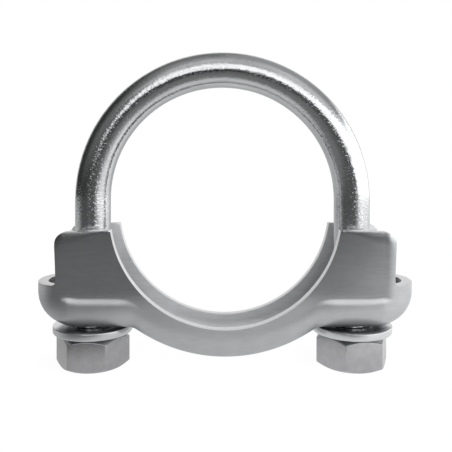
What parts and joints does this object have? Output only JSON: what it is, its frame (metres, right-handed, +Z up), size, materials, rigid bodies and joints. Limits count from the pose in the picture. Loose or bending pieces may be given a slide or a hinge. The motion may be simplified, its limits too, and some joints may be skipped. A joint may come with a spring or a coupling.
{
  "type": "exhaust clamp",
  "caption": "Saddle and U-bolt clamp that closes round an exhaust pipe joint when its two nuts are run up the threaded legs.",
  "frame": {"origin": "on the surface that the two nuts stand on, midway between the ends of the saddle and midway through its depth", "axes": "+X across the clamp from leg to leg, +Y along the pipe away from the pictured side, +Z up from the nuts to the arch"},
  "size_m": [0.0754, 0.016, 0.0634],
  "materials": {
    "rod_zinc": "bright zinc plate on bent round rod",
    "sheet_zinc": "satin zinc plate on pressed sheet",
    "washer_zinc": "bright zinc plate",
    "nut_zinc": "satin zinc plate"
  },
  "bodies": {
    "u_bolt": {"u_bolt": "rod_zinc"},
    "saddle": {"saddle": "sheet_zinc", "left_washer": "washer_zinc", "right_washer": "washer_zinc"},
    "left_nut": {"left_nut": "nut_zinc"},
    "right_nut": {"right_nut": "nut_zinc"}
  },
  "joints": [
    {"name": "saddle_slide", "type": "slide", "parent": "u_bolt", "child": "saddle", "axis": [0, 0, 1], "range_m": [0, 0.012]},
    {"name": "left_nut_turn", "type": "hinge", "parent": "saddle", "child": "left_nut", "pos_m": [-0.0269, 0, 0], "axis": [0, 0, 1], "range_deg": [0, 3456]},
    {"name": "right_nut_turn", "type": "hinge", "parent": "saddle", "child": "right_nut", "pos_m": [0.0259, 0, 0], "axis": [0, 0, 1], "range_deg": [0, 3456]}
  ],
  "couplings": [
    {"joint": "left_nut_turn", "follows": "saddle_slide", "rad_per_m": 5026.5},
    {"joint": "right_nut_turn", "follows": "saddle_slide", "rad_per_m": 5026.5}
  ]
}
